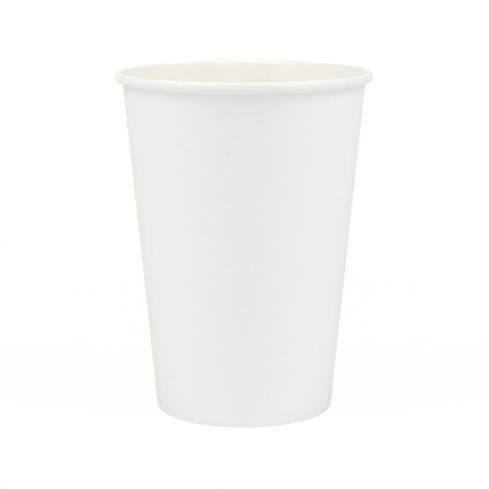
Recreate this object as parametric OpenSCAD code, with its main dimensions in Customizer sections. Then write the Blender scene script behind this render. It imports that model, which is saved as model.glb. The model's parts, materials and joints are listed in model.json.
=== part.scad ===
// Single-wall paper cup: a sidewall rolled from one blank, with a lapped side seam,
// a rim rolled outwards and a foot folded up inside the skirt of a recessed bottom
// disc. Millimetres. The foot stands on Z = 0 and +Z is the cup's axis.

/* [Cup] */
// Diameter over the rolled rim, mean of all directions
rim_d = 80; // [70:0.5:90]
// Height from the table to the top of the rim
cup_h = 106.7; // [80:0.1:140]
// Outside diameter of the wall's straight taper, carried down to the table
foot_d = 55.6; // [48:0.1:62]

/* [Paper] */
// Thickness of the coated paper of the sidewall
wall_t = 0.38; // [0.3:0.01:0.45]
// Thickness of the coated paper of the bottom disc
disc_t = 0.32; // [0.25:0.01:0.4]

/* [Side seam] */
// Direction of the seam's inner edge, counted from +X towards +Y
seam_at = 76; // [0:1:359]
// Width of the overlap at the foot
lap_w = 5.6; // [4:0.1:9]
// How far the heat seal presses the two plies into each other
lap_press = 0.04; // [0.02:0.01:0.1]

/* [Rolled rim] */
// How far the roll stands out from the wall
roll_out = 2.35; // [2.2:0.05:2.8]
// Outer radius of the roll from its top to its widest place
roll_top_r = 1.9; // [1.7:0.05:2]
// Outer radius of the roll below its widest place
roll_side_r = 1.2; // [1:0.05:1.3]
// Outer radius where the paper turns up beside the wall
roll_tuck_r = 0.5; // [0.46:0.02:0.6]
// Gap between the wall and the paper that turns up beside it
roll_gap = 0.15; // [0.1:0.01:0.2]
// Outer radius of the free edge inside the roll
roll_tail_r = 1.2; // [1:0.1:1.6]
// Turn of that free edge, in degrees
roll_tail_turn = 60; // [20:5:70]

/* [Foot] */
// Height of the bottom disc's underside above the table
recess_h = 6.1; // [5.5:0.1:9]
// Height of the hem that is folded up inside the skirt
hem_h = 4.2; // [3:0.1:4.6]
// Outer radius of the two corners of the fold on the table
fold_r = 0.43; // [0.4:0.01:0.46]
// How far the skirt and the hem press the wall outwards
foot_swell = 0.16; // [0.05:0.01:0.3]
// Height over which that swelling fades into the wall
swell_fade = 1.8; // [1:0.1:3]
// Outer radius where the disc turns down into its skirt
disc_corner_r = 0.9; // [0.6:0.05:1.2]
// Gap between the skirt's lower edge and the fold below it
skirt_gap = 0.3; // [0.1:0.05:1]
// Gap on each face of the skirt, which the melted coating fills
seal_gap = 0.02; // [0.01:0.01:0.04]

/* [Hidden] */
outer_white = [0.94, 0.94, 0.93];
inner_white = [0.95, 0.93, 0.88];

// Largest turn of one step along a curve, in degrees
arc_step = 11.25;
// Section points lie on this grid, so that the two half turns meet exactly
grid = 0.001;
function on_grid(v) = round(v / grid) * grid;

// The wall winds outwards by one ply in a turn, as two half turns. The first is
// centred on the axis and the second stands off it by half of this step.
lap_step = 2 * on_grid((wall_t - lap_press) / 2);
half_step = lap_step / 2;
// Radii of the first half turn, with which both together have the stated diameters
rim_r = (rim_d - half_step) / 2;
foot_r = (foot_d - half_step) / 2;
neck_r = rim_r - roll_out;
lap_angle = lap_w / foot_r * 180 / PI;

// The roll's curves below its widest place: side, underside and tuck
side_turn = 60;
under_turn = 22;
tuck_turn = 180 - side_turn - under_turn;
under_end = side_turn + under_turn;
roll_under_r = (roll_out - roll_gap - roll_side_r * (1 - cos(side_turn))
    - roll_tuck_r * (1 + cos(under_end))) / (cos(side_turn) - cos(under_end));
roll_h = roll_top_r + roll_side_r * sin(side_turn)
    + roll_under_r * (sin(under_end) - sin(side_turn))
    + roll_tuck_r * (1 - sin(under_end));

// Lean of the wall away from the axis, in degrees
lean = atan2(neck_r - foot_r, cup_h - roll_h);
// Radius of the wall's middle line at a height
function wall_mid_r(z) = foot_r - wall_t / 2 / cos(lean) + z * tan(lean);

// The lip is tangent to the wall's inner face and to the top of the roll
top_r = rim_r - roll_top_r;
lip_r = (top_r - wall_mid_r(cup_h) + wall_t / 2 / cos(lean)) * cos(lean) / (1 - sin(lean));
lip_mid_z = cup_h - lip_r * (1 - sin(lean)) - wall_t / 2 * sin(lean);

// Middle lines in the foot, from outside to inside: wall, skirt and hem
slot_w = disc_t + 2 * seal_gap;
function foot_wall_r(z) = wall_mid_r(z) + foot_swell;
function skirt_r(z) = foot_wall_r(z) - (wall_t + slot_w) / 2 / cos(lean);
function hem_r(z) = foot_wall_r(z) - (wall_t + slot_w) / cos(lean);

// The fold on the table, with the lengths that its two corners take from its lines
fold_mid_r = fold_r - wall_t / 2;
fold_mid_z = wall_t / 2;
hem_corner = fold_mid_r * tan((90 + lean) / 2);
wall_corner = fold_mid_r * tan((90 - lean) / 2);
fold_flat = foot_wall_r(fold_mid_z) - hem_r(fold_mid_z) - hem_corner - wall_corner;

// The swelling ends where the disc's corner leaves the wall, in an S of two curves
swell_z = recess_h + disc_t - disc_corner_r;
swell_shift = foot_swell * cos(lean);
swell_len = (swell_fade - swell_shift * sin(lean)) / cos(lean);
swell_turn = 2 * atan(swell_shift / swell_len);
swell_r = swell_len / 2 / sin(swell_turn);

disc_mid_z = recess_h + disc_t / 2;
disc_mid_r = disc_corner_r - disc_t / 2;
disc_corner = disc_mid_r * tan((90 + lean) / 2);

// A station on a path is [radius, height, heading]. A leg is [length, 0] where it
// runs straight, and [radius, turn] where it curves, to the left for a plus turn.
function on_leg(s, leg, share) = leg[1] == 0
    ? [s[0] + leg[0] * share * cos(s[2]), s[1] + leg[0] * share * sin(s[2]), s[2]]
    : let (r = leg[0] * sign(leg[1]), heading = s[2] + leg[1] * share)
        [s[0] + r * (sin(heading) - sin(s[2])), s[1] + r * (cos(s[2]) - cos(heading)), heading];
function leg_end(s, legs, i = 0) = i == len(legs) ? s : leg_end(on_leg(s, legs[i], 1), legs, i + 1);
function steps_of(leg) = max(1, ceil(abs(leg[1]) / arc_step));
function stations(s, legs, i = 0) = i == len(legs) ? [s] : concat(
    [for (k = [0:steps_of(legs[i]) - 1]) on_leg(s, legs[i], k / steps_of(legs[i]))],
    stations(on_leg(s, legs[i], 1), legs, i + 1));

// One face of the paper along a path, to the left of its middle line
function face_along(path, offset) = [for (s = path)
    [max(0, on_grid(s[0] - offset * sin(s[2]))), on_grid(s[1] + offset * cos(s[2]))]];
function reversed(list) = [for (i = [len(list) - 1:-1:0]) list[i]];

// Section through paper of one thickness that follows a path
module paper_section(path, t) {
    polygon(concat(face_along(path, t / 2), reversed(face_along(path, -t / 2))));
}

// The sidewall's path: down the hem and across the fold
hem_start = [hem_r(hem_h), hem_h, -90 - lean];
hem_legs = [
    [(hem_h - fold_mid_z) / cos(lean) - hem_corner, 0],
    [fold_mid_r, 90 + lean],
    [fold_flat, 0]
];
// Then round the outer corner, up the swollen foot and the wall, and round the roll
wall_start = leg_end(hem_start, hem_legs);
wall_legs = [
    [fold_mid_r, 90 - lean],
    [(swell_z - fold_mid_z) / cos(lean) - wall_corner, 0],
    [swell_r, swell_turn],
    [swell_r, -swell_turn],
    [(lip_mid_z - swell_z - swell_fade) / cos(lean), 0],
    [lip_r - wall_t / 2, lean - 90],
    [roll_top_r - wall_t / 2, -90],
    [roll_side_r - wall_t / 2, -side_turn],
    [roll_under_r - wall_t / 2, -under_turn],
    [roll_tuck_r - wall_t / 2, -tuck_turn],
    [roll_tail_r - wall_t / 2, -roll_tail_turn]
];

module ply_section() {
    paper_section(stations(hem_start, concat(hem_legs, wall_legs)), wall_t);
}

// In the seam the outer ply lies on the inner one, and both are rolled as one
module lap_section() {
    ply_section();
    translate([lap_step, 0]) paper_section(stations(wall_start, wall_legs), wall_t);
}

// The first half turn ends in the lap, and the second one starts one ply outside it
module sidewall() {
    color(outer_white) rotate([0, 0, seam_at]) {
        rotate_extrude(start = 180, angle = 180 - lap_angle, $fn = 180) ply_section();
        rotate_extrude(start = 360 - lap_angle, angle = lap_angle, $fn = 180) lap_section();
        translate([half_step, 0, 0]) rotate_extrude(start = 0, angle = 180, $fn = 180)
            translate([half_step, 0]) ply_section();
    }
}

// The disc from its centre out to the corner and down the skirt
module disc_section(offset) {
    paper_section(stations([0, disc_mid_z, 0], [
        [skirt_r(disc_mid_z) + offset - disc_corner, 0],
        [disc_mid_r, -90 - lean],
        [(disc_mid_z - wall_t - skirt_gap) / cos(lean) - disc_corner, 0]
    ]), disc_t);
}

// Pressed out against the wall, so it has the same two half turns
module bottom_disc() {
    color(inner_white) rotate([0, 0, seam_at]) {
        rotate_extrude(start = 180, angle = 180, $fn = 180) disc_section(0);
        translate([half_step, 0, 0]) rotate_extrude(start = 0, angle = 180, $fn = 180)
            disc_section(half_step);
    }
}

sidewall();
bottom_disc();
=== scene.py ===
"""A plain white paper cup, wound from one blank of board round a pressed bottom disc."""

import json
from math import atan, atan2, copysign, cos, pi, radians, sin, tan
from typing import NamedTuple

import bmesh
import bpy
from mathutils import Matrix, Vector

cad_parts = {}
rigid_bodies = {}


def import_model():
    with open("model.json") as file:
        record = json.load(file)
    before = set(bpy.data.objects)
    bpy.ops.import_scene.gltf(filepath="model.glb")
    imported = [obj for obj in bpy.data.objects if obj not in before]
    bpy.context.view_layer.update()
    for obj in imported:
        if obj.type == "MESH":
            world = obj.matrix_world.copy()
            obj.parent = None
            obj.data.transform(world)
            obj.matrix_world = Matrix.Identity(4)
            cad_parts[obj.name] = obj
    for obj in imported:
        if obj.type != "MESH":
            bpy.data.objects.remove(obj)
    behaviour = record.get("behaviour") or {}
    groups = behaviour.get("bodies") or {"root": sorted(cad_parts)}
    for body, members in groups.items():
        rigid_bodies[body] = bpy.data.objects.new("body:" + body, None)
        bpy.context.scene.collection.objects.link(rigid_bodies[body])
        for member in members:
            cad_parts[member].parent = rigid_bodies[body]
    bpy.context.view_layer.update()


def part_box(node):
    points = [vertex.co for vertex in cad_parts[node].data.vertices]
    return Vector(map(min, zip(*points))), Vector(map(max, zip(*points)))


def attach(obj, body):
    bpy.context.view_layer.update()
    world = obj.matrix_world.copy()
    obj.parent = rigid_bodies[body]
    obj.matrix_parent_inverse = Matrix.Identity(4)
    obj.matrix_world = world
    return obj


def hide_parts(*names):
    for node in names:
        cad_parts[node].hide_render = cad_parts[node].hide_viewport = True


bl_info = {
    "name": "Paper Cup",
    "version": (1, 0, 0),
    "blender": (4, 5, 0),
    "location": "3D View > Sidebar > Paper Cup",
    "description": "Winds a paper cup and its bottom disc, and sets up a pale studio round it",
    "category": "Object",
}

for leftover in list(bpy.data.objects):
    bpy.data.objects.remove(leftover)
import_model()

FULL_TURN = 2 * pi
# Points closer than this are one point
WELD = 1e-7
# Edges that turn by more than this stay sharp
SHARP_ANGLE = radians(38)


# Sizes and colours


def number(name, description, default, **more):
    return bpy.props.FloatProperty(name=name, description=description, default=default, **more)


def length(*told):
    """A length in metres."""
    return number(*told, min=0.0, precision=5, subtype="DISTANCE", unit="LENGTH")


def angle(name, description, degrees):
    """An angle, kept in radians."""
    return number(name, description, radians(degrees), subtype="ANGLE", unit="ROTATION")


def colour(name, description, default):
    """A linear colour."""
    return bpy.props.FloatVectorProperty(
        name=name, description=description, default=default, min=0.0, max=1.0,
        size=3, subtype="COLOR",
    )


def share(*told):
    """A number between 0 and 1."""
    return number(*told, min=0.0, max=1.0, subtype="FACTOR")


def power(*told):
    """The strength of a lamp."""
    return number(*told, min=0.0, subtype="POWER", unit="POWER")


wall_low, wall_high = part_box("sidewall")


class CupSizes(bpy.types.PropertyGroup):
    """Real sizes of the cup, in metres."""

    rim_radius: length(
        "Rim radius", "Radius over the rolled rim on the seam's inner ply", -wall_low.y
    )
    cup_height: length("Height", "From the table to the top of the rim", wall_high.z)
    foot_diameter: length(
        "Foot diameter", "Diameter of the wall's straight taper, carried to the table", 0.0556
    )
    wall_thickness: length("Wall paper", "Thickness of the sidewall's paper", 0.00038)
    disc_thickness: length("Disc paper", "Thickness of the bottom disc's paper", 0.00032)
    seam_direction: angle("Seam direction", "Where the seam's inner edge lies, from +X to +Y", 76)
    lap_width: length("Lap", "Width of the side seam's overlap at the foot", 0.0056)
    lap_press: length("Lap press", "How far the seal presses the two plies together", 0.00004)
    roll_out: length("Roll", "How far the rim's roll stands out from the wall", 0.00235)
    roll_drop: length("Roll drop", "From the top of the rim down to its widest place", 0.0019)
    roll_crown_radius: length("Roll crown", "Outer radius over the top of the roll", 0.00111)
    roll_crown_turn: angle("Roll crown turn", "How far the crown of the roll turns", 64)
    roll_side_radius: length("Roll side", "Outer radius below the widest place", 0.0012)
    roll_tuck_radius: length("Roll tuck", "Outer radius where the paper turns up", 0.0005)
    roll_gap: length("Roll gap", "Gap between the wall and the roll's free end", 0.00015)
    roll_tail_radius: length("Roll tail", "Outer radius of the free edge in the roll", 0.0012)
    roll_side_turn: angle("Roll side turn", "How far the side of the roll turns", 60)
    roll_under_turn: angle("Roll under turn", "How far the underside of the roll turns", 22)
    roll_tail_turn: angle("Roll tail turn", "How far the free edge curls inside the roll", 60)
    recess_height: length("Recess", "Height of the disc's underside above the table", 0.0061)
    hem_height: length("Hem", "Height of the edge that is folded up in the foot", 0.0042)
    fold_radius: length("Fold", "Outer radius of the fold's corners on the table", 0.00043)
    foot_swell: length("Foot swell", "How far the skirt presses the foot outwards", 0.00012)
    swell_fade: length("Swell fade", "Height over which the swelling fades", 0.0028)
    disc_corner: length("Disc corner", "Outer radius where the disc turns down", 0.0009)
    skirt_gap: length("Skirt gap", "Gap between the skirt's edge and the fold", 0.0003)
    seal_gap: length("Seal gap", "Thickness of the seal on each face of the skirt", 0.00002)
    turn_over: angle("Turn over", "Where the outer ply changes sides at the roll and the hem", 14)
    disc_step: angle("Disc step", "Where the disc's edge follows the seam's step", 5)
    knurl_pitch: length("Knurl pitch", "Pitch of the ridges that press the hem on", 0.0021)
    knurl_depth: length("Knurl depth", "Depth of the grooves between those ridges", 0.00009)
    pucker_pitch: length("Pucker pitch", "Mean pitch of the puckers round the disc", 0.0024)
    pucker_depth: length("Pucker depth", "Depth of the puckers at the disc's corner", 0.00011)
    unevenness: length("Unevenness", "How far the wall strays from a true cone", 0.00006)
    rim_tilt: length(
        "Rim tilt", "How much higher the rim stands on the right than on the left", 0.00028
    )


class CupFinish(bpy.types.PropertyGroup):
    """Colours and surfaces of the board."""

    board_white: colour("Board white", "Uncoated outside of the board", (0.862, 0.854, 0.837))
    board_shade: colour("Board shade", "Thinner places in the outside", (0.852, 0.843, 0.825))
    board_lap: colour("Board lap", "Outside where the seam has two plies", (0.872, 0.864, 0.849))
    # The inside's three colours are the coated face painted lighter and creamier, as light that
    # comes through the one-ply wall
    coat_white_painted_light: colour("Coat white", "Coated inside, one ply thick", (0.952, 0.934, 0.887))
    coat_shade_painted_light: colour("Coat shade", "Thinner places in the inside", (0.942, 0.923, 0.872))
    coat_lap_painted_light: colour("Coat lap", "Inside where the seam has two plies", (0.98, 0.966, 0.928))
    # The roll shows the same coated face, painted darker as shade where several plies let no light
    # through
    roll_white_painted_shade: colour("Roll white", "Rolled rim, several plies thick", (0.818, 0.809, 0.783))
    core_white: colour("Core white", "Cut edge of the board", (0.8, 0.78, 0.73))
    core_shade: colour("Core shade", "Darker fibres in the cut edge", (0.66, 0.63, 0.57))
    board_roughness: share("Board roughness", "Roughness of the uncoated outside", 0.75)
    coat_roughness: share("Coat roughness", "Roughness of the coated inside", 0.4)
    board_gloss: share("Board gloss", "Specular level of the uncoated outside", 0.1)
    coat_gloss: share("Coat gloss", "Specular level of the coated inside", 0.35)
    core_gloss: share("Core gloss", "Specular level of the cut edge", 0.3)
    cloud_size: length("Clouds", "Size of the cloudy patches in the board", 0.0008)
    fibre_size: length("Fibres", "Width of the fibres' pattern", 0.00022)
    board_fibre_depth: length("Board fibre depth", "Relief of the fibres outside", 0.000004)
    coat_fibre_depth: length("Coat fibre depth", "Relief of the fibres inside", 0.000002)
    grain_size: length("Grain", "Size of the fine unevenness in both faces", 0.0009)
    grain_depth: length("Grain depth", "Relief of that unevenness", 0.000005)
    core_cloud_size: length("Core clouds", "Size of the patches in the cut edge", 0.00025)
    core_fibre_size: length("Core fibres", "Size of the fibre ends in the cut edge", 0.00012)
    core_fibre_depth: length("Core fibre depth", "Relief of those fibre ends", 0.00003)


class CupStudio(bpy.types.PropertyGroup):
    """Lamps and camera."""

    sky: share("Sky", "Even light from all round", 0.285)
    top_lamp: power("Top lamp", "Softbox above the cup", 6.5)
    high_lamp: power("High lamp", "Softbox high above the camera", 2.75)
    front_lamp: power("Front lamp", "Softbox just above the camera", 1.4)
    side_lamps: power("Side lamps", "Softboxes high on both sides", 2.6)
    side_fills: power("Side fills", "Softboxes low on both sides", 0.88)
    rear_lamp: power("Rear lamp", "Softbox low behind the cup", 1.6)
    floor_grey: share("Floor", "Lightness of the floor for the light that it reflects", 0.995)
    shadow_depth: share("Shadow", "How much of the floor's shading the camera sees", 0.08)
    shadow_reach: length("Shadow reach", "Where the floor has faded to plain white", 0.3)
    bounces: bpy.props.IntProperty(
        name="Bounces", description="How often light goes on between the pale walls",
        default=12, min=0,
    )
    camera_distance: length("Camera distance", "From the cup's axis, level", 0.5274)
    camera_height: length("Camera height", "Above the table", 0.1527)
    camera_pitch: angle("Camera pitch", "How far the camera looks down", 10.83)
    camera_lens: number(
        "Lens", "Focal length on a 36 mm sensor", 124.87,
        min=1.0, subtype="DISTANCE_CAMERA", unit="CAMERA",
    )
    camera_shift: share("Camera shift", "How far the picture is moved right, in its widths", 0.0003)


# The paper's middle line


class Station(NamedTuple):
    """A place on the paper's middle line, seen in section, and where the line heads from it."""

    r: float
    z: float
    heading: float
    along: float
    zone: str = ""
    part: float = 0.0


class Leg(NamedTuple):
    """A stretch of the middle line: straight, or an arc that turns left for a plus turn."""

    zone: str
    size: float
    turn: float = 0.0
    steps: int = 1


def on_leg(at, leg, part):
    """The station a part of the way along a leg that starts at a station."""
    if leg.turn == 0:
        gone = leg.size * part
        r = at.r + gone * cos(at.heading)
        z = at.z + gone * sin(at.heading)
        return Station(r, z, at.heading, at.along + gone, leg.zone, part)
    radius = copysign(leg.size, leg.turn)
    heading = at.heading + leg.turn * part
    r = at.r + radius * (sin(heading) - sin(at.heading))
    z = at.z + radius * (cos(at.heading) - cos(heading))
    return Station(r, z, heading, at.along + leg.size * abs(leg.turn) * part, leg.zone, part)


def walk(start, legs):
    """The stations along legs that follow each other, with both ends."""
    stations = []
    for leg in legs:
        stations += [on_leg(start, leg, step / leg.steps) for step in range(leg.steps)]
        start = on_leg(start, leg, 1.0)
    return stations + [start]


class CupForm:
    """Radii and heights that follow from the cup's sizes."""

    def __init__(self, sizes):
        self.sizes = sizes
        half_wall = sizes.wall_thickness / 2
        # The wall winds outwards by this step in a turn
        self.ply_step = sizes.wall_thickness - sizes.lap_press
        self.foot_r = (sizes.foot_diameter - self.ply_step / 2) / 2
        neck_r = sizes.rim_radius - sizes.roll_out
        self.lap_angle = sizes.lap_width / self.foot_r

        # The roll from its widest place down: its side, its underside and the tuck
        side = sizes.roll_side_turn
        under_end = side + sizes.roll_under_turn
        self.tuck_turn = pi - under_end
        room = sizes.roll_out - sizes.roll_gap - sizes.roll_side_radius * (1 - cos(side))
        room -= sizes.roll_tuck_radius * (1 + cos(under_end))
        self.roll_under_r = room / (cos(side) - cos(under_end))
        roll_h = sizes.roll_drop + sizes.roll_side_radius * sin(side)
        roll_h += self.roll_under_r * (sin(under_end) - sin(side))
        roll_h += sizes.roll_tuck_radius * (1 - sin(under_end))

        # The wall runs straight into a lip that is tangent to it and to the crown
        self.lean = atan2(neck_r - self.foot_r, sizes.cup_height - roll_h)
        self.half_wall_level = half_wall / cos(self.lean)
        crown, turn = sizes.roll_crown_radius, sizes.roll_crown_turn
        self.shoulder_r = (sizes.roll_drop - crown * (1 - cos(turn))) / cos(turn)
        top_r = sizes.rim_radius - crown * sin(turn) - self.shoulder_r * (1 - sin(turn))
        reach = top_r - self.wall_r(sizes.cup_height) + self.half_wall_level
        self.lip_r = reach * cos(self.lean) / (1 - sin(self.lean))
        lip_drop = self.lip_r * (1 - sin(self.lean)) + half_wall * sin(self.lean)
        self.lip_z = sizes.cup_height - lip_drop

        # How far the skirt and the hem stand from the wall's straight line in the foot
        slot = sizes.disc_thickness + 2 * sizes.seal_gap
        ply_and_slot = (sizes.wall_thickness + slot) / cos(self.lean)
        self.hem_inset = sizes.foot_swell - ply_and_slot
        self.skirt_inset = sizes.foot_swell - ply_and_slot / 2
        self.fold_r = sizes.fold_radius - half_wall

    def wall_r(self, z):
        """Radius of the wall's middle line at a height."""
        return self.foot_r - self.half_wall_level + z * tan(self.lean)

    def wall_stations(self):
        """From the hem's edge down, across the fold, up the wall and round the rim's roll."""
        sizes, lean = self.sizes, self.lean
        half_wall = sizes.wall_thickness / 2
        hem_corner = self.fold_r * tan((pi / 2 + lean) / 2)
        wall_corner = self.fold_r * tan((pi / 2 - lean) / 2)
        flat = sizes.foot_swell - self.hem_inset - hem_corner - wall_corner
        swell_z = sizes.recess_height + sizes.disc_thickness - sizes.disc_corner
        shift = sizes.foot_swell * cos(lean)
        swell_len = (sizes.swell_fade - shift * sin(lean)) / cos(lean)
        swell_turn = 2 * atan(shift / swell_len)
        swell_r = swell_len / 2 / sin(swell_turn)
        hem_len = (sizes.hem_height - half_wall) / cos(lean) - hem_corner
        foot_len = (swell_z - half_wall) / cos(lean) - wall_corner
        wall_len = (self.lip_z - swell_z - sizes.swell_fade) / cos(lean)
        start_r = self.wall_r(sizes.hem_height) + self.hem_inset
        start = Station(start_r, sizes.hem_height, -pi / 2 - lean, 0.0)
        return walk(start, [
            Leg("hem", hem_len, 0.0, 4),
            Leg("fold", self.fold_r, pi / 2 + lean, 6),
            Leg("flat", flat, 0.0, 1),
            Leg("fold_out", self.fold_r, pi / 2 - lean, 6),
            Leg("foot", foot_len, 0.0, 3),
            Leg("foot", swell_r, swell_turn, 3),
            Leg("foot", swell_r, -swell_turn, 3),
            Leg("wall", wall_len, 0.0, 12),
            Leg("lip", self.lip_r - half_wall, lean - pi / 2, 6),
            Leg("roll", sizes.roll_crown_radius - half_wall, -sizes.roll_crown_turn, 6),
            Leg("roll", self.shoulder_r - half_wall, sizes.roll_crown_turn - pi / 2, 6),
            Leg("roll", sizes.roll_side_radius - half_wall, -sizes.roll_side_turn, 5),
            Leg("under", self.roll_under_r - half_wall, -sizes.roll_under_turn, 2),
            Leg("tuck", sizes.roll_tuck_radius - half_wall, -self.tuck_turn, 7),
            Leg("tuck", sizes.roll_tail_radius - half_wall, -sizes.roll_tail_turn, 3),
        ])

    def disc_stations(self):
        """From the disc's centre out to its corner and down the skirt."""
        sizes, lean = self.sizes, self.lean
        mid_z = sizes.recess_height + sizes.disc_thickness / 2
        corner_r = sizes.disc_corner - sizes.disc_thickness / 2
        corner = corner_r * tan((pi / 2 + lean) / 2)
        reach = self.wall_r(mid_z) + self.skirt_inset - corner
        drop = (mid_z - sizes.wall_thickness - sizes.skirt_gap) / cos(lean) - corner
        return walk(Station(0.0, mid_z, 0.0, 0.0), [
            Leg("disc", reach, 0.0, 16),
            Leg("corner", corner_r, -pi / 2 - lean, 8),
            Leg("skirt", drop, 0.0, 5),
        ])


# The section that is wound


def ease(value):
    """Rises from 0 to 1 with a level start and end."""
    value = min(max(value, 0.0), 1.0)
    return value * value * (3 - 2 * value)


def paper_outside(station):
    """Unit direction out of the paper's outer face, in the plane of the section."""
    return Vector((sin(station.heading), 0.0, -cos(station.heading)))


OUT = Vector((1.0, 0.0, 0.0))
UP = Vector((0.0, 0.0, 1.0))
NOWHERE = Vector((0.0, 0.0, 0.0))
# How much of the ply step the two plies keep apart, where the roll is tightest
TUCK_NEST = 0.25
# How much of the lap's second ply shows as a rise on the roll
ROLL_RISE = 0.35
# How far the hem's outer ply comes forward of its inner ply
HEM_RISE = 0.5
# Share of the lip at which it has the roll's tone, the coat's painted shade in place of the
# inside's painted light
LIP_TONE_END = 0.4
# Share of the disc's radius from which it follows the step at the seam
DISC_STEP_START = 0.6
# Share of the hem over which the grooves run out at each end, and how deep they are at its edge
KNURL_RUN_OUT = 0.25
KNURL_AT_EDGE = 0.2
# Share of the disc's radius from which it puckers, and how much of that the skirt keeps
PUCKER_START = 0.72
SKIRT_PUCKER = 0.35


def wall_moves(station):
    """How the plies move in the sidewall, in ply steps: outer ply, inner ply and turn-over."""
    outside = paper_outside(station)
    hem_over = -(1 + HEM_RISE) * OUT
    if station.zone == "hem":
        return OUT, NOWHERE, hem_over
    if station.zone == "fold":
        return OUT, UP, hem_over
    if station.zone == "flat":
        return OUT, UP, hem_over / 2
    if station.zone == "fold_out":
        return OUT, (1 - ease(station.part)) * UP, NOWHERE
    if station.zone in ("foot", "wall"):
        return OUT, NOWHERE, NOWHERE
    share_out = ease(station.part) if station.zone == "lip" else 1.0
    nest = TUCK_NEST if station.zone == "tuck" else 1.0
    if station.zone == "under":
        nest = 1 + (TUCK_NEST - 1) * ease(station.part)
    rise = -ROLL_RISE * nest * share_out * outside
    sunk = (1 - ROLL_RISE) * nest * outside - OUT
    return OUT, rise, share_out * sunk


def disc_moves(station):
    """How the disc's edge follows the wall, in ply steps, and comes back at the seam."""
    follow = 1.0
    if station.zone == "disc":
        follow = ease((station.part - DISC_STEP_START) / (1 - DISC_STEP_START))
    return follow * OUT, NOWHERE, -follow * OUT


def knurl_depths(sizes):
    """Depth of the grooves at a station, on the paper's outer and inner face."""
    def depths(station):
        if station.zone != "hem":
            return 0.0, 0.0
        at_edge = station.part / KNURL_RUN_OUT + KNURL_AT_EDGE
        at_fold = (1 - station.part) / KNURL_RUN_OUT
        return -sizes.knurl_depth * min(1.0, at_edge, at_fold), 0.0
    return depths


def pucker_depths(sizes):
    """Depth of the puckers at a station, on both faces of the disc."""
    weights = {
        "disc": lambda part: ease((part - PUCKER_START) / (1 - PUCKER_START)),
        "corner": lambda part: 1.0,
        "skirt": lambda part: SKIRT_PUCKER * (1 - part),
    }

    def depths(station):
        depth = sizes.pucker_depth * weights[station.zone](station.part)
        return -depth, depth
    return depths


def rolled_share(station):
    """0 where the one-ply inside is painted lighter for light that comes through it, and 1 in the
    rim's roll, painted darker as shade.
    """
    if station.zone == "lip":
        return ease(station.part / LIP_TONE_END)
    return 1.0 if station.zone in ("roll", "under", "tuck") else 0.0


def section_mesh(name, stations, thickness, moves, depths):
    """The paper's closed outline: down its outer face, and back along its inner face."""
    total = stations[-1].along
    rows = [(station, 1.0, station.along) for station in stations]
    for station in reversed(stations):
        rows.append((station, -1.0, total + thickness + total - station.along))
    rows.append((stations[0], 1.0, 2 * (total + thickness)))

    points = []
    # What the winding tree reads at each point: where its face looks, and how the plies move it
    vectors = {"facing": [], "outer_move": [], "inner_move": [], "turn_over": []}
    # Its ripple's depth, its place along the outline, and its shares of stray and of roll, where
    # the coat's painted shade replaces the inside's painted light
    numbers = {"ripple": [], "along": [], "loose": [], "rolled": []}
    for station, side, along in rows:
        outside = paper_outside(station)
        point = Vector((station.r, 0.0, station.z)) + side * thickness / 2 * outside
        points.append((max(point.x, 0.0), 0.0, point.z))
        for key, vector in zip(vectors, (side * outside, *moves(station))):
            vectors[key].extend(vector)
        numbers["ripple"].append(depths(station)[0 if side > 0 else 1])
        numbers["along"].append(along)
        numbers["loose"].append(ease(station.z / stations[-1].z))
        numbers["rolled"].append(rolled_share(station))

    mesh = bpy.data.meshes.new(name)
    mesh.from_pydata(points, [(i, i + 1) for i in range(len(points) - 1)], [])
    for key, flat in vectors.items():
        mesh.attributes.new(key, "FLOAT_VECTOR", "POINT").data.foreach_set("vector", flat)
    for key, flat in numbers.items():
        mesh.attributes.new(key, "FLOAT", "POINT").data.foreach_set("value", flat)
    return mesh


# Node trees


class NodeWriter:
    """Adds nodes to a tree, and feeds each input a value or another node's output."""

    def __init__(self, tree):
        self.tree = tree

    def add(self, kind, feeds=(), **settings):
        """A node with its settings, and with its inputs fed by name or number."""
        node = self.tree.nodes.new(kind)
        column, row = divmod(len(self.tree.nodes), 6)
        node.location = (180 * column, -170 * row)
        for key, value in settings.items():
            setattr(node, key, value)
        for key, value in dict(feeds).items():
            self.feed(node.inputs[key], value)
        return node

    def feed(self, socket, value):
        if isinstance(value, bpy.types.NodeSocket):
            self.tree.links.new(value, socket)
        else:
            socket.default_value = value

    def math(self, operation, *values):
        node = self.add("ShaderNodeMath", enumerate(values), operation=operation)
        return node.outputs[0]

    def whole(self, operation, *values):
        """Arithmetic on whole numbers."""
        node = self.add("FunctionNodeIntegerMath", enumerate(values), operation=operation)
        return node.outputs[0]

    def vector(self, operation, *values):
        node = self.add("ShaderNodeVectorMath", enumerate(values), operation=operation)
        return node.outputs[0]

    def scaled(self, vector, factor):
        feeds = {"Vector": vector, "Scale": factor}
        return self.add("ShaderNodeVectorMath", feeds, operation="SCALE").outputs[0]

    def combined(self, **parts):
        """A vector from its X, Y and Z, each 0 where it isn't given."""
        return self.add("ShaderNodeCombineXYZ", parts).outputs[0]

    def eased(self, value, low, high, to_low=0.0, to_high=1.0):
        """A value taken from one range to another, with a level start and end."""
        feeds = {"Value": value, "From Min": low, "From Max": high}
        feeds.update({"To Min": to_low, "To Max": to_high})
        return self.add("ShaderNodeMapRange", feeds, interpolation_type="SMOOTHSTEP").outputs[0]

    def noise(self, place, size, **feeds):
        """Noise on patches of a size, in the place's own unit."""
        feeds.update({"Vector": place, "Scale": 1 / size})
        return self.add("ShaderNodeTexNoise", feeds).outputs[0]

    def blended(self, factor, low, high):
        """A colour between two colours."""
        feeds = {0: factor, 6: low, 7: high}
        return self.add("ShaderNodeMix", feeds, data_type="RGBA").outputs[2]

    def mixed(self, factor, first, second):
        """A node whose shader lies between two nodes' shaders."""
        feeds = {0: factor, 1: first.outputs[0], 2: second.outputs[0]}
        return self.add("ShaderNodeMixShader", feeds)

    def output(self, shader, kind="ShaderNodeOutputMaterial"):
        """Makes a node's shader the surface of the tree."""
        self.feed(self.add(kind).inputs["Surface"], shader.outputs[0])


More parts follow.
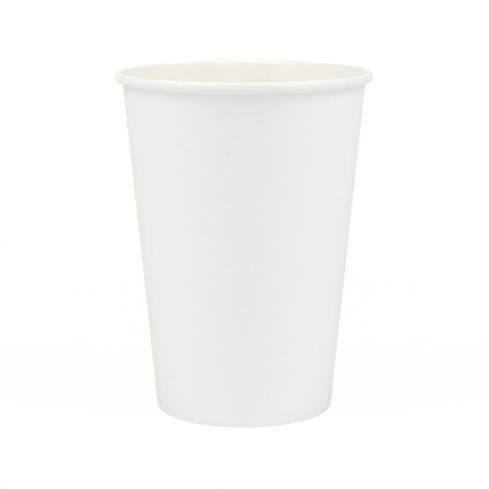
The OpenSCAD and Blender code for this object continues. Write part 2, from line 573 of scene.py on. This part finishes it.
class ShapeWriter(NodeWriter):
    """Adds what only the geometry trees use."""

    def point_index(self):
        """The number of a point, which the corners of the faces round it share."""
        index = self.add("GeometryNodeInputIndex").outputs[0]
        feeds = {"Value": index}
        node = self.add("GeometryNodeFieldOnDomain", feeds, data_type="INT", domain="POINT")
        return node.outputs["Value"]

    def named(self, title, kind="FLOAT"):
        """The field of an attribute."""
        node = self.add("GeometryNodeInputNamedAttribute", {"Name": title}, data_type=kind)
        return node.outputs["Attribute"]

    def sampled(self, geometry, index, field, kind="FLOAT"):
        """A field's value at one point of a geometry."""
        feeds = {"Geometry": geometry, "Value": field, "Index": index}
        node = self.add("GeometryNodeSampleIndex", feeds, data_type=kind, domain="POINT")
        return node.outputs["Value"]

    def stored(self, geometry, title, kind, domain, value):
        """A geometry that keeps a field as an attribute."""
        feeds = {"Geometry": geometry, "Name": title, "Value": value}
        node = self.add("GeometryNodeStoreNamedAttribute", feeds, data_type=kind, domain=domain)
        return node.outputs[0]

    def through(self, kind, geometry, **feeds):
        """A geometry after a node that takes one and gives one."""
        return self.add(kind, {"Geometry": geometry, **feeds}).outputs[0]

    def grid(self, across, along):
        feeds = {"Vertices X": across, "Vertices Y": along}
        return self.add("GeometryNodeMeshGrid", feeds).outputs["Mesh"]

    def compared(self, operation, first, second):
        """Whether two whole numbers compare as the operation says."""
        feeds = {2: first, 3: second}
        node = self.add("FunctionNodeCompare", feeds, data_type="INT", operation=operation)
        return node.outputs[0]

    def joined(self, *geometries):
        """Several geometries as one."""
        node = self.add("GeometryNodeJoinGeometry")
        for geometry in geometries:
            self.feed(node.inputs[0], geometry)
        return node.outputs[0]


def new_group(name, inputs, outputs):
    """A geometry tree with its group nodes, from (name, socket type, default) rows."""
    tree = bpy.data.node_groups.new(name, "GeometryNodeTree")
    for title, kind, default in inputs:
        socket = tree.interface.new_socket(title, in_out="INPUT", socket_type=kind)
        if default is not None:
            socket.default_value = default
    for title, kind in outputs:
        tree.interface.new_socket(title, in_out="OUTPUT", socket_type=kind)
    writer = ShapeWriter(tree)
    given = writer.add("NodeGroupInput").outputs
    result = writer.add("NodeGroupOutput").inputs
    return writer, given, result


# What both trees are told of the winding, with defaults
WINDING = {
    "Seam Direction": 0.0,
    "Lap Angle": 0.0,
    "Ply Step": 0.0,
    "Turn Over": 0.1,
    "Ripple Count": 60.0,
    "Ripple Scatter": 0.0,
    "Unevenness": 0.0,
    "Rim Slope": 0.0,
    "Seed": 1.0,
}
WINDING_INPUTS = [(title, "NodeSocketFloat", default) for title, default in WINDING.items()]
# Nearly all of a noise lies between these values
NOISE_LOW, NOISE_HIGH = 0.3, 0.7
# Cells of the stray's noise in a metre of height, and in a radian round the wall
STRAY_PER_METRE = 28.0
STRAY_PER_RADIAN = 1.3
# The noise keeps within about a quarter of its middle, and this brings that to the full stray
STRAY_GAIN = 4.0
# Shares of the lap's angle between which the tone of its second ply fades
LAP_TONE_FADE = (0.8, 1.9)
# A cut edge on the UV map, in metres: its width, and one step of the section
EDGE_UV_WIDTH = 0.0004
EDGE_UV_STEP = 0.001


def place_group():
    """Puts one point of the section at one winding angle, counted from the inner ply's edge."""
    inputs = [("Section", "NodeSocketGeometry", None), ("Point", "NodeSocketInt", 0)]
    inputs += [("Winding", "NodeSocketFloat", 0.0)] + WINDING_INPUTS
    outputs = [("Position", "NodeSocketVector")]
    write, given, result = new_group("Place on winding", inputs, outputs)

    def at_point(field, kind):
        return write.sampled(given["Section"], given["Point"], field, kind)

    def named(title, kind="FLOAT_VECTOR"):
        return at_point(write.named(title, kind), kind)

    def noise(place, detail):
        feeds = {"Vector": place, "W": given["Seed"], "Scale": 1.0, "Detail": detail}
        return write.add("ShaderNodeTexNoise", feeds, noise_dimensions="4D").outputs[0]

    winding = given["Winding"]
    drawn = at_point(write.add("GeometryNodeInputPosition").outputs[0], "FLOAT_VECTOR")
    # The outer ply stands off by one step after a full turn, over the second half of it
    late = write.add("ShaderNodeClamp", {"Value": winding, "Min": pi, "Max": FULL_TURN})
    swing = write.math("COSINE", late.outputs[0])
    out_share = write.math("MULTIPLY_ADD", swing, 0.5, 0.5)
    # It turns over to the other side just before the lap, and past the lap the rise ends
    over_start = write.math("SUBTRACT", FULL_TURN, given["Turn Over"])
    over_share = write.eased(winding, over_start, FULL_TURN)
    fade_end = write.math("ADD", given["Lap Angle"], given["Turn Over"])
    in_share = write.eased(winding, given["Lap Angle"], fade_end, 1.0, 0.0)
    moved = write.scaled(named("outer_move"), out_share)
    moved = write.vector("ADD", moved, write.scaled(named("turn_over"), over_share))
    moved = write.vector("ADD", moved, write.scaled(named("inner_move"), in_share))
    moved = write.scaled(moved, given["Ply Step"])

    # A ring that closes on itself gives the noise, so that it has no seam
    ring = write.combined(X=write.math("COSINE", winding), Y=write.math("SINE", winding))
    cells = write.math("DIVIDE", given["Ripple Count"], FULL_TURN)
    scattered = write.eased(noise(write.scaled(ring, cells), 0.0), NOISE_LOW, NOISE_HIGH)
    turns = write.math("MULTIPLY", winding, given["Ripple Count"])
    regular = write.math("MULTIPLY_ADD", write.math("COSINE", turns), -0.5, 0.5)
    wave = write.add("ShaderNodeMix", {0: given["Ripple Scatter"], 2: regular, 3: scattered})
    ripple = write.math("MULTIPLY", named("ripple", "FLOAT"), wave.outputs[0])
    moved = write.vector("ADD", moved, write.scaled(named("facing"), ripple))

    # A gentle stray, nearly the same for both faces of the paper
    height = write.add("ShaderNodeSeparateXYZ", {0: drawn}).outputs["Z"]
    column = write.combined(Z=write.math("MULTIPLY", height, STRAY_PER_METRE))
    drum = write.vector("ADD", column, write.scaled(ring, STRAY_PER_RADIAN))
    stray = write.math("SUBTRACT", noise(drum, 1.0), 0.5)
    gain = write.math("MULTIPLY", given["Unevenness"], STRAY_GAIN)
    stray = write.math("MULTIPLY", stray, gain)
    stray = write.math("MULTIPLY", stray, named("loose", "FLOAT"))
    moved = write.vector("ADD", moved, write.combined(X=stray))

    feeds = {
        "Vector": write.vector("ADD", drawn, moved),
        "Angle": write.math("SUBTRACT", given["Seam Direction"], winding),
    }
    turned = write.add("ShaderNodeVectorRotate", feeds, rotation_type="Z_AXIS").outputs[0]

    # The rim stands a little higher on one side, and the foot stays flat
    split = write.add("ShaderNodeSeparateXYZ", {0: turned}).outputs
    lift = write.math("MULTIPLY", split["X"], split["Z"])
    lift = write.math("MULTIPLY", lift, given["Rim Slope"])
    placed = write.vector("ADD", turned, write.combined(Z=lift))
    write.feed(result["Position"], placed)
    return write.tree


def on_winding(write, given, geometry, point, winding):
    """A geometry whose points lie where the section's points are at a winding angle."""
    feeds = {"Section": given["Section"], "Point": point, "Winding": winding}
    feeds.update({title: given[title] for title in WINDING})
    place = bpy.data.node_groups.get("Place on winding") or place_group()
    node = write.add("GeometryNodeGroup", feeds, node_tree=place)
    return write.through("GeometryNodeSetPosition", geometry, Position=node.outputs[0])


def wound_faces(write, given, rows, whole_winding):
    """The paper's two faces, in columns round the axis and rows along the section."""
    point = write.point_index()
    column = write.whole("DIVIDE_FLOOR", point, rows)
    row = write.whole("MODULO", point, rows)
    turned = write.math("DIVIDE", column, given["Stations Round"])
    winding = write.math("MULTIPLY", turned, whole_winding)
    columns = write.whole("ADD", given["Stations Round"], 1)
    # The roll's share picks the coat's painted shade over the inside's painted light
    along, rolled = (
        write.sampled(given["Section"], row, write.named(title)) for title in ("along", "rolled")
    )
    # The blank lies double at its inner and at its outer end
    lap_fade = [write.math("MULTIPLY", given["Lap Angle"], part) for part in LAP_TONE_FADE]
    inner_end = write.eased(winding, *lap_fade, 1.0, 0.0)
    outer_end = write.math("GREATER_THAN", winding, FULL_TURN)
    doubled = write.math("MAXIMUM", inner_end, outer_end)
    doubled = write.math("MULTIPLY", doubled, given["Has Cut Edges"])
    round_cup = write.math("MULTIPLY", winding, given["Mean Radius"])
    faces = write.stored(write.grid(columns, rows), "rolled", "FLOAT", "POINT", rolled)
    faces = write.stored(faces, "doubled", "FLOAT", "POINT", doubled)
    blank = write.combined(X=round_cup, Y=along)
    faces = write.stored(faces, "UVMap", "FLOAT2", "CORNER", blank)
    return on_winding(write, given, faces, row, winding)


def marked_faces(write, faces, strips, stations):
    """Marks the strips of the coated face, and those at the paper's upper and lower edge."""
    index = write.add("GeometryNodeInputIndex").outputs[0]
    strip = write.whole("MODULO", index, strips)
    past_edge = write.compared("GREATER_THAN", strip, write.whole("SUBTRACT", stations, 1))
    next_strip = write.whole("ADD", strip, 1)
    on_edge = write.compared("EQUAL", write.whole("MODULO", next_strip, stations), 0)
    faces = write.stored(faces, "coated", "BOOLEAN", "FACE", past_edge)
    return write.stored(faces, "cut", "BOOLEAN", "FACE", on_edge)


def cut_edges(write, given, strips, stations, whole_winding):
    """The blank's cut edges along the seam, each from the outer to the inner face."""
    point = write.point_index()
    side = write.whole("DIVIDE_FLOOR", point, stations)
    step = write.whole("MODULO", point, stations)
    # The inner face runs backwards, so a point's partner across the paper lies this far on
    last = write.whole("SUBTRACT", strips, 1)
    across = write.whole("SUBTRACT", last, write.whole("MULTIPLY", step, 2))
    row = write.whole("ADD", step, write.whole("MULTIPLY", side, across))
    edge_uv = write.combined(
        X=write.math("MULTIPLY", side, EDGE_UV_WIDTH),
        Y=write.math("MULTIPLY", step, EDGE_UV_STEP),
    )
    strip = write.stored(write.grid(2, stations), "UVMap", "FLOAT2", "CORNER", edge_uv)
    strip = write.stored(strip, "cut", "BOOLEAN", "FACE", True)
    both = [on_winding(write, given, strip, row, turn) for turn in (0.0, whole_winding)]
    feeds = {"Switch": given["Has Cut Edges"], "True": write.joined(*both)}
    return write.add("GeometryNodeSwitch", feeds, input_type="GEOMETRY").outputs[0]


def winding_group():
    """Winds a section of paper round the Z axis, laps it and closes its two cut edges."""
    inputs = [("Section", "NodeSocketGeometry", None), ("Stations Round", "NodeSocketInt", 360)]
    inputs += WINDING_INPUTS + [
        ("Mean Radius", "NodeSocketFloat", 0.03),
        ("Has Cut Edges", "NodeSocketBool", True),
        ("Outside", "NodeSocketMaterial", None),
        ("Inside", "NodeSocketMaterial", None),
        ("Cut Edge", "NodeSocketMaterial", None),
    ]
    write, given, result = new_group("Wound paper", inputs, [("Cup", "NodeSocketGeometry")])
    feeds = {0: given["Section"]}
    counted = write.add("GeometryNodeAttributeDomainSize", feeds, component="MESH")
    rows = counted.outputs["Point Count"]
    strips = write.whole("SUBTRACT", rows, 1)
    stations = write.whole("DIVIDE_FLOOR", strips, 2)
    whole_winding = write.math("ADD", FULL_TURN, given["Lap Angle"])
    faces = wound_faces(write, given, rows, whole_winding)
    faces = marked_faces(write, faces, strips, stations)
    edges = cut_edges(write, given, strips, stations, whole_winding)

    cup = write.through("GeometryNodeMergeByDistance", write.joined(edges, faces), Distance=WELD)
    cup = write.through("GeometryNodeRealizeInstances", cup)
    cup = write.through("GeometryNodeSetMaterial", cup, Material=given["Outside"])
    for title, material in (("coated", "Inside"), ("cut", "Cut Edge")):
        feeds = {"Selection": write.named(title, "BOOLEAN"), "Material": given[material]}
        cup = write.through("GeometryNodeSetMaterial", cup, **feeds)
    write.feed(result["Cup"], cup)
    return write.tree


def close_shell(mesh):
    """Turns the faces of a wound mesh outwards, and raises an error where it is open."""
    shell = bmesh.new()
    shell.from_mesh(mesh)
    # On the axis, the row between the two faces shrinks to a bare edge
    bare = [line for line in shell.edges if not line.link_faces]
    bmesh.ops.delete(shell, geom=bare, context="EDGES")
    bmesh.ops.recalc_face_normals(shell, faces=shell.faces)
    open_edges = sum(1 for edge in shell.edges if not edge.is_manifold)
    shell.to_mesh(mesh)
    shell.free()
    if open_edges:
        raise RuntimeError(f"{mesh.name} has {open_edges} open edges")


def wind(name, section, settings):
    """The finished mesh object that the winding tree makes of a section."""
    draft = bpy.data.objects.new(name + "_section", section)
    bpy.context.scene.collection.objects.link(draft)
    tree = bpy.data.node_groups.get("Wound paper") or winding_group()
    modifier = draft.modifiers.new("Wound paper", "NODES")
    modifier.node_group = tree
    for item in tree.interface.items_tree:
        if item.name in settings:
            modifier[item.identifier] = settings[item.name]
    bpy.context.view_layer.update()
    depsgraph = bpy.context.evaluated_depsgraph_get()
    mesh = bpy.data.meshes.new_from_object(draft.evaluated_get(depsgraph), depsgraph=depsgraph)
    bpy.data.objects.remove(draft)
    if not mesh.polygons:
        raise RuntimeError(f"the winding tree made no faces for {name}")
    mesh.name = name
    for helper in ("coated", "cut"):
        mesh.attributes.remove(mesh.attributes[helper])
    close_shell(mesh)
    mesh.polygons.foreach_set("use_smooth", [True] * len(mesh.polygons))
    mesh.set_sharp_from_angle(angle=SHARP_ANGLE)
    piece = bpy.data.objects.new(name, mesh)
    bpy.context.scene.collection.objects.link(piece)
    return piece


# Materials


# How far a board's roughness goes up and down with its fibres
ROUGHNESS_SWING = 0.05
# Roughness of the cut edge in its hollows and on its fibre ends, and the noise that is there
CORE_ROUGHNESS = (0.8, 0.95)
CORE_NOISE = (0.2, 0.8)
PAPER_IOR = 1.5


def rgba(value):
    """A colour that nodes take."""
    return (value[0], value[1], value[2], 1.0)


def blank_material(name):
    """A material without nodes, and the writer of its nodes."""
    material = bpy.data.materials.new(name)
    material.use_nodes = True
    material.node_tree.nodes.clear()
    return material, NodeWriter(material.node_tree)


def paper_surface(write, gloss):
    """The shader node of a paper, still without its colour and roughness."""
    return write.add("ShaderNodeBsdfPrincipled", {"Specular IOR Level": gloss, "IOR": PAPER_IOR})


def mottled(write, place, size, light, shade, contrast):
    """A colour that drifts between two tones over patches of a size in metres."""
    noise = write.noise(place, size, Detail=3.0, Roughness=0.6)
    drift = write.eased(noise, 0.5 - contrast, 0.5 + contrast)
    return write.blended(drift, rgba(shade), rgba(light))


def relief(write, height, depth, below=None):
    """A bump whose full height is a depth in metres, laid on the one below."""
    feeds = {"Height": height, "Distance": depth, "Strength": 1.0}
    if below is not None:
        feeds["Normal"] = below
    return write.add("ShaderNodeBump", feeds).outputs[0]


def board_material(name, light, shade, tones, roughness, gloss, fibre_depth):
    """White board: cloudy formation, fibres round the cup, and a fine grain."""
    finish = bpy.context.scene.paper_cup_finish
    material, write = blank_material(name)
    place = write.add("ShaderNodeTexCoord").outputs
    surface = paper_surface(write, gloss)
    base = mottled(write, place["Object"], finish.cloud_size, light, shade, contrast=0.22)
    # Tones laid on by attributes: the seam's second ply and, on the coat, the roll's painted shade
    for title, tone in tones.items():
        there = write.add("ShaderNodeAttribute", attribute_name=title).outputs["Fac"]
        base = write.blended(there, base, rgba(tone))
    write.feed(surface.inputs["Base Color"], base)

    # Fibres lie mostly round the cup, so their pattern is drawn out that way
    feeds = {"Vector": place["UV"], "Scale": (0.3, 1.0, 1.0)}
    laid = write.add("ShaderNodeMapping", feeds).outputs[0]
    fibres = write.noise(laid, finish.fibre_size, Detail=4.0, Roughness=0.62, Distortion=0.6)
    grain = write.noise(place["Object"], finish.grain_size, Detail=2.0, Roughness=0.5)
    bumped = relief(write, grain, finish.grain_depth)
    bumped = relief(write, fibres, fibre_depth, bumped)
    write.feed(surface.inputs["Normal"], bumped)
    swing = (roughness - ROUGHNESS_SWING, roughness + ROUGHNESS_SWING)
    write.feed(surface.inputs["Roughness"], write.eased(fibres, NOISE_LOW, NOISE_HIGH, *swing))
    write.output(surface)
    return material


def edge_material(name):
    """The cut through the board, with its fibre ends."""
    finish = bpy.context.scene.paper_cup_finish
    material, write = blank_material(name)
    place = write.add("ShaderNodeTexCoord").outputs["Object"]
    surface = paper_surface(write, finish.core_gloss)
    base = mottled(
        write, place, finish.core_cloud_size, finish.core_white, finish.core_shade, contrast=0.2
    )
    write.feed(surface.inputs["Base Color"], base)
    fibres = write.noise(place, finish.core_fibre_size, Detail=3.0)
    write.feed(surface.inputs["Normal"], relief(write, fibres, finish.core_fibre_depth))
    rough = write.eased(fibres, *CORE_NOISE, *CORE_ROUGHNESS)
    write.feed(surface.inputs["Roughness"], rough)
    write.output(surface)
    return material


def cup_materials():
    """Outside, coated inside and cut edge, made once for both pieces."""
    finish = bpy.context.scene.paper_cup_finish
    made = [bpy.data.materials.get(name) for name in ("cup_board", "cup_coating_painted_light_and_shade", "cup_edge")]
    if all(made):
        return made
    outside = board_material(
        "cup_board", finish.board_white, finish.board_shade, {"doubled": finish.board_lap},
        finish.board_roughness, finish.board_gloss, finish.board_fibre_depth,
    )
    # The coated inside is painted lighter for light through the wall, and its roll darker as
    # painted shade
    inside = board_material(
        "cup_coating_painted_light_and_shade", finish.coat_white_painted_light, finish.coat_shade_painted_light,
        {"doubled": finish.coat_lap_painted_light, "rolled": finish.roll_white_painted_shade},
        finish.coat_roughness, finish.coat_gloss, finish.coat_fibre_depth,
    )
    return [outside, inside, edge_material("cup_edge")]


# Operators


def shared_inputs(sizes, form):
    """What the winding tree is told alike for both pieces."""
    materials = dict(zip(("Outside", "Inside", "Cut Edge"), cup_materials()))
    return materials | {"Seam Direction": sizes.seam_direction, "Ply Step": form.ply_step}


class PAPERCUP_OT_sidewall(bpy.types.Operator):
    """Wind the sidewall, with its side seam, rolled rim and folded foot"""

    bl_idname = "paper_cup.sidewall"
    bl_label = "Wind Sidewall"

    def execute(self, context):
        sizes = context.scene.paper_cup_sizes
        form = CupForm(sizes)
        section = section_mesh(
            "sidewall_section", form.wall_stations(), sizes.wall_thickness,
            wall_moves, knurl_depths(sizes),
        )
        hem_r = form.wall_r(0.0) + form.hem_inset
        piece = wind("sidewall_paper", section, shared_inputs(sizes, form) | {
            "Stations Round": 600,
            "Lap Angle": form.lap_angle,
            "Turn Over": sizes.turn_over,
            "Ripple Count": float(round(FULL_TURN * hem_r / sizes.knurl_pitch)),
            "Unevenness": sizes.unevenness,
            "Rim Slope": sizes.rim_tilt / (2 * sizes.rim_radius * sizes.cup_height),
            "Seed": 3.0,
            "Mean Radius": form.wall_r(sizes.cup_height / 2),
            "Has Cut Edges": True,
        })
        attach(piece, "root")
        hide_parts("sidewall")
        return {"FINISHED"}


class PAPERCUP_OT_bottom_disc(bpy.types.Operator):
    """Press the bottom disc, with its skirt turned down inside the foot"""

    bl_idname = "paper_cup.bottom_disc"
    bl_label = "Press Bottom Disc"

    def execute(self, context):
        sizes = context.scene.paper_cup_sizes
        form = CupForm(sizes)
        stations = form.disc_stations()
        section = section_mesh(
            "disc_section", stations, sizes.disc_thickness, disc_moves, pucker_depths(sizes)
        )
        # The disc is coated on its upper face, which is the left side of its line
        piece = wind("bottom_disc_paper", section, shared_inputs(sizes, form) | {
            "Stations Round": 480,
            "Turn Over": sizes.disc_step,
            "Ripple Count": float(round(FULL_TURN * stations[-1].r / sizes.pucker_pitch)),
            "Ripple Scatter": 1.0,
            "Seed": 11.0,
            "Mean Radius": stations[-1].r,
            "Has Cut Edges": False,
        })
        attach(piece, "root")
        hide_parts("bottom_disc")
        return {"FINISHED"}


def seen_directly(write):
    """1 where the camera looks, also in gloss or through glass, and 0 for other light."""
    rays = write.add("ShaderNodeLightPath").outputs
    seen = write.math("MAXIMUM", rays["Is Camera Ray"], rays["Is Glossy Ray"])
    return write.math("MAXIMUM", seen, rays["Is Transmission Ray"])


def white_floor_material(grey, shadow_depth, shadow_reach):
    """White to the camera with a faint shadow, and plain grey to the light that it reflects."""
    material, write = blank_material("studio_floor")
    seen = seen_directly(write)
    plain = write.add("ShaderNodeBsdfDiffuse", {"Color": rgba([grey] * 3)})
    shaded = write.add("ShaderNodeBsdfDiffuse", {"Color": rgba([shadow_depth] * 3)})
    glow = write.add("ShaderNodeEmission", {"Strength": 1.0 - shadow_depth})
    near = write.add("ShaderNodeAddShader", {0: shaded.outputs[0], 1: glow.outputs[0]})
    white = write.add("ShaderNodeEmission", {"Strength": 1.0})
    place = write.add("ShaderNodeTexCoord").outputs["Object"]
    away = write.add("ShaderNodeVectorMath", {0: place}, operation="LENGTH").outputs["Value"]
    faded = write.eased(away, shadow_reach / 2, shadow_reach)
    write.output(write.mixed(seen, plain, write.mixed(faded, near, white)))
    return material


def studio_world(sky):
    """Even light from all round, and white where it is seen."""
    world = bpy.data.worlds.new("studio")
    world.use_nodes = True
    world.node_tree.nodes.clear()
    write = NodeWriter(world.node_tree)
    white = (1.0, 1.0, 1.0, 1.0)
    even = write.add("ShaderNodeBackground", {"Color": white, "Strength": sky})
    bright = write.add("ShaderNodeBackground", {"Color": white, "Strength": 1.0})
    write.output(write.mixed(seen_directly(write), even, bright), "ShaderNodeOutputWorld")
    return world


def softbox(name, place, target, size, watts, glints=True):
    """A lamp of a width and height that faces a target, and that shows in gloss or doesn't."""
    lamp = bpy.data.lights.new(name, "AREA")
    lamp.shape = "RECTANGLE"
    lamp.size, lamp.size_y = size
    lamp.energy = watts
    holder = bpy.data.objects.new(name, lamp)
    holder.visible_glossy = glints
    holder.location = place
    holder.rotation_euler = (Vector(target) - Vector(place)).to_track_quat("-Z", "Y").to_euler()
    bpy.context.scene.collection.objects.link(holder)


class PAPERCUP_OT_studio(bpy.types.Operator):
    """Set the floor, the soft lamps and the camera"""

    bl_idname = "paper_cup.studio"
    bl_label = "Set Up Studio"

    def execute(self, context):
        scene = context.scene
        studio = scene.paper_cup_studio
        middle = (0.0, 0.0, scene.paper_cup_sizes.cup_height / 2)
        scene.view_settings.view_transform = "Standard"
        scene.cycles.diffuse_bounces = studio.bounces
        scene.world = studio_world(studio.sky)

        mesh = bpy.data.meshes.new("studio_floor")
        half = 4.0
        corners = [(-half, -half, 0), (half, -half, 0), (half, half, 0), (-half, half, 0)]
        mesh.from_pydata(corners, [], [(0, 1, 2, 3)])
        white = white_floor_material(studio.floor_grey, studio.shadow_depth, studio.shadow_reach)
        mesh.materials.append(white)
        floor = bpy.data.objects.new("studio_floor", mesh)
        scene.collection.objects.link(floor)

        softbox("top_lamp", (0, 0, 1.8), middle, (1.0, 1.0), studio.top_lamp)
        softbox("high_lamp", (0, -1.0, 1.1), middle, (0.9, 0.5), studio.high_lamp, glints=False)
        softbox("front_lamp", (0, -1.3, 0.3), middle, (0.8, 0.5), studio.front_lamp, glints=False)
        for side, name in ((-1, "left"), (1, "right")):
            place = (side * 0.6, -0.25, 0.75)
            softbox(name + "_lamp", place, middle, (0.5, 0.5), studio.side_lamps)
            place = (side * 0.8, 0.0, 0.25)
            softbox(name + "_fill", place, middle, (0.4, 0.7), studio.side_fills)
        softbox("rear_lamp", (0, 1.3, 0.2), middle, (0.8, 0.3), studio.rear_lamp, glints=False)

        lens = bpy.data.cameras.new("camera")
        lens.lens = studio.camera_lens
        lens.sensor_width = 36.0
        lens.shift_x = studio.camera_shift
        lens.clip_start = 0.01
        camera = bpy.data.objects.new("camera", lens)
        camera.location = (0.0, -studio.camera_distance, studio.camera_height)
        camera.rotation_euler = (pi / 2 - studio.camera_pitch, 0.0, 0.0)
        scene.collection.objects.link(camera)
        scene.camera = camera
        return {"FINISHED"}


class PAPERCUP_PT_panel(bpy.types.Panel):
    """Lists the steps that make the cup"""

    bl_label = "Paper Cup"
    bl_idname = "PAPERCUP_PT_panel"
    bl_space_type = "VIEW_3D"
    bl_region_type = "UI"
    bl_category = "Paper Cup"

    def draw(self, context):
        layout = self.layout
        for operator in OPERATORS:
            layout.operator(operator.bl_idname)
        for name, kind in GROUPS.items():
            box = layout.box()
            for key in kind.__annotations__:
                box.prop(getattr(context.scene, name), key)


GROUPS = {
    "paper_cup_sizes": CupSizes,
    "paper_cup_finish": CupFinish,
    "paper_cup_studio": CupStudio,
}
OPERATORS = (PAPERCUP_OT_sidewall, PAPERCUP_OT_bottom_disc, PAPERCUP_OT_studio)
CLASSES = (*GROUPS.values(), *OPERATORS, PAPERCUP_PT_panel)


def register():
    for item in CLASSES:
        bpy.utils.register_class(item)
    for name, kind in GROUPS.items():
        setattr(bpy.types.Scene, name, bpy.props.PointerProperty(type=kind))


def unregister():
    for name in GROUPS:
        delattr(bpy.types.Scene, name)
    for item in reversed(CLASSES):
        bpy.utils.unregister_class(item)


def main():
    register()
    bpy.ops.paper_cup.sidewall()
    bpy.ops.paper_cup.bottom_disc()
    bpy.ops.paper_cup.studio()


if __name__ == "__main__":
    main()
